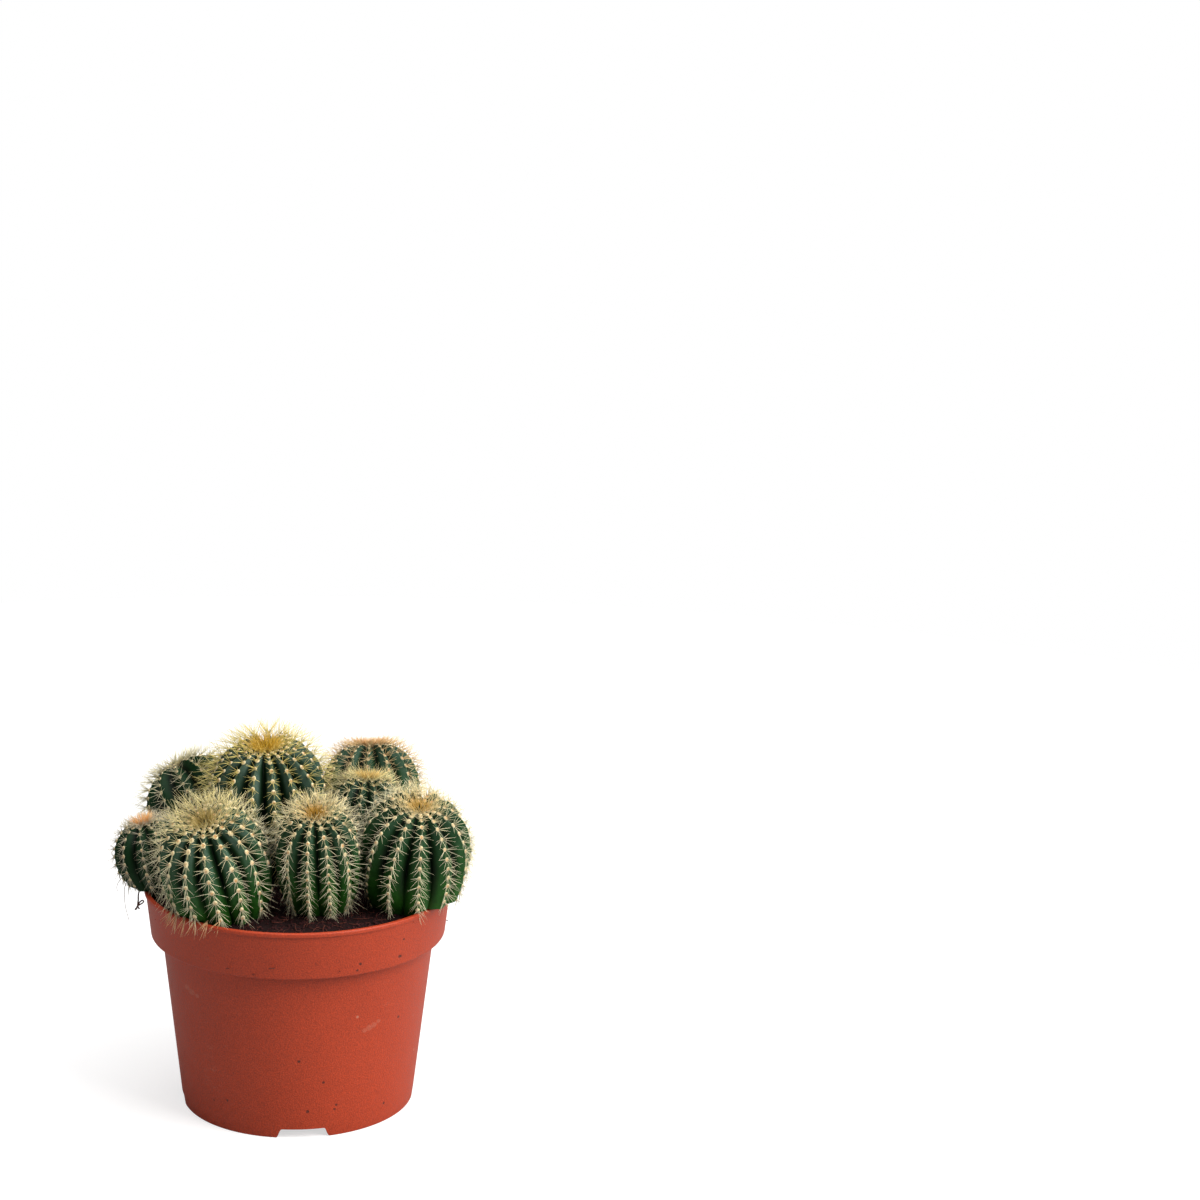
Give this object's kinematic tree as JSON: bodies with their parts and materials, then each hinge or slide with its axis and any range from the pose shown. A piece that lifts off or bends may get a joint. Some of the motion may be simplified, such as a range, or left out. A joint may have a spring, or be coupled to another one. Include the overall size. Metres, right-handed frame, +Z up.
{
  "type": "potted round cactus",
  "caption": "Clump of round ribbed cactus heads with cream spines, growing in soil in a tapered terracotta coloured plastic nursery pot with a notched foot.",
  "frame": {"origin": "centre of the pot's foot, on the surface it stands on", "axes": "+Z up, -Y towards the front, where a foot notch is in the middle"},
  "size_m": [0.2074, 0.1717, 0.2181],
  "materials": {
    "pot_plastic": "satin",
    "soil": "matte",
    "cactus_skin": "satin",
    "cactus_spine": "satin",
    "areole_felt": "matte"
  },
  "bodies": {
    "root": {"pot": "pot_plastic", "soil": "soil", "head_front_left": "cactus_skin", "head_front_middle": "cactus_skin", "head_front_right": "cactus_skin", "head_side_left": "cactus_skin", "head_back_left": "cactus_skin", "head_tallest": "cactus_skin", "head_back_right": "cactus_skin", "head_inner_right": "cactus_skin", "head_back_middle": "cactus_skin", "head_side_right": "cactus_skin"}
  },
  "joints": []
}
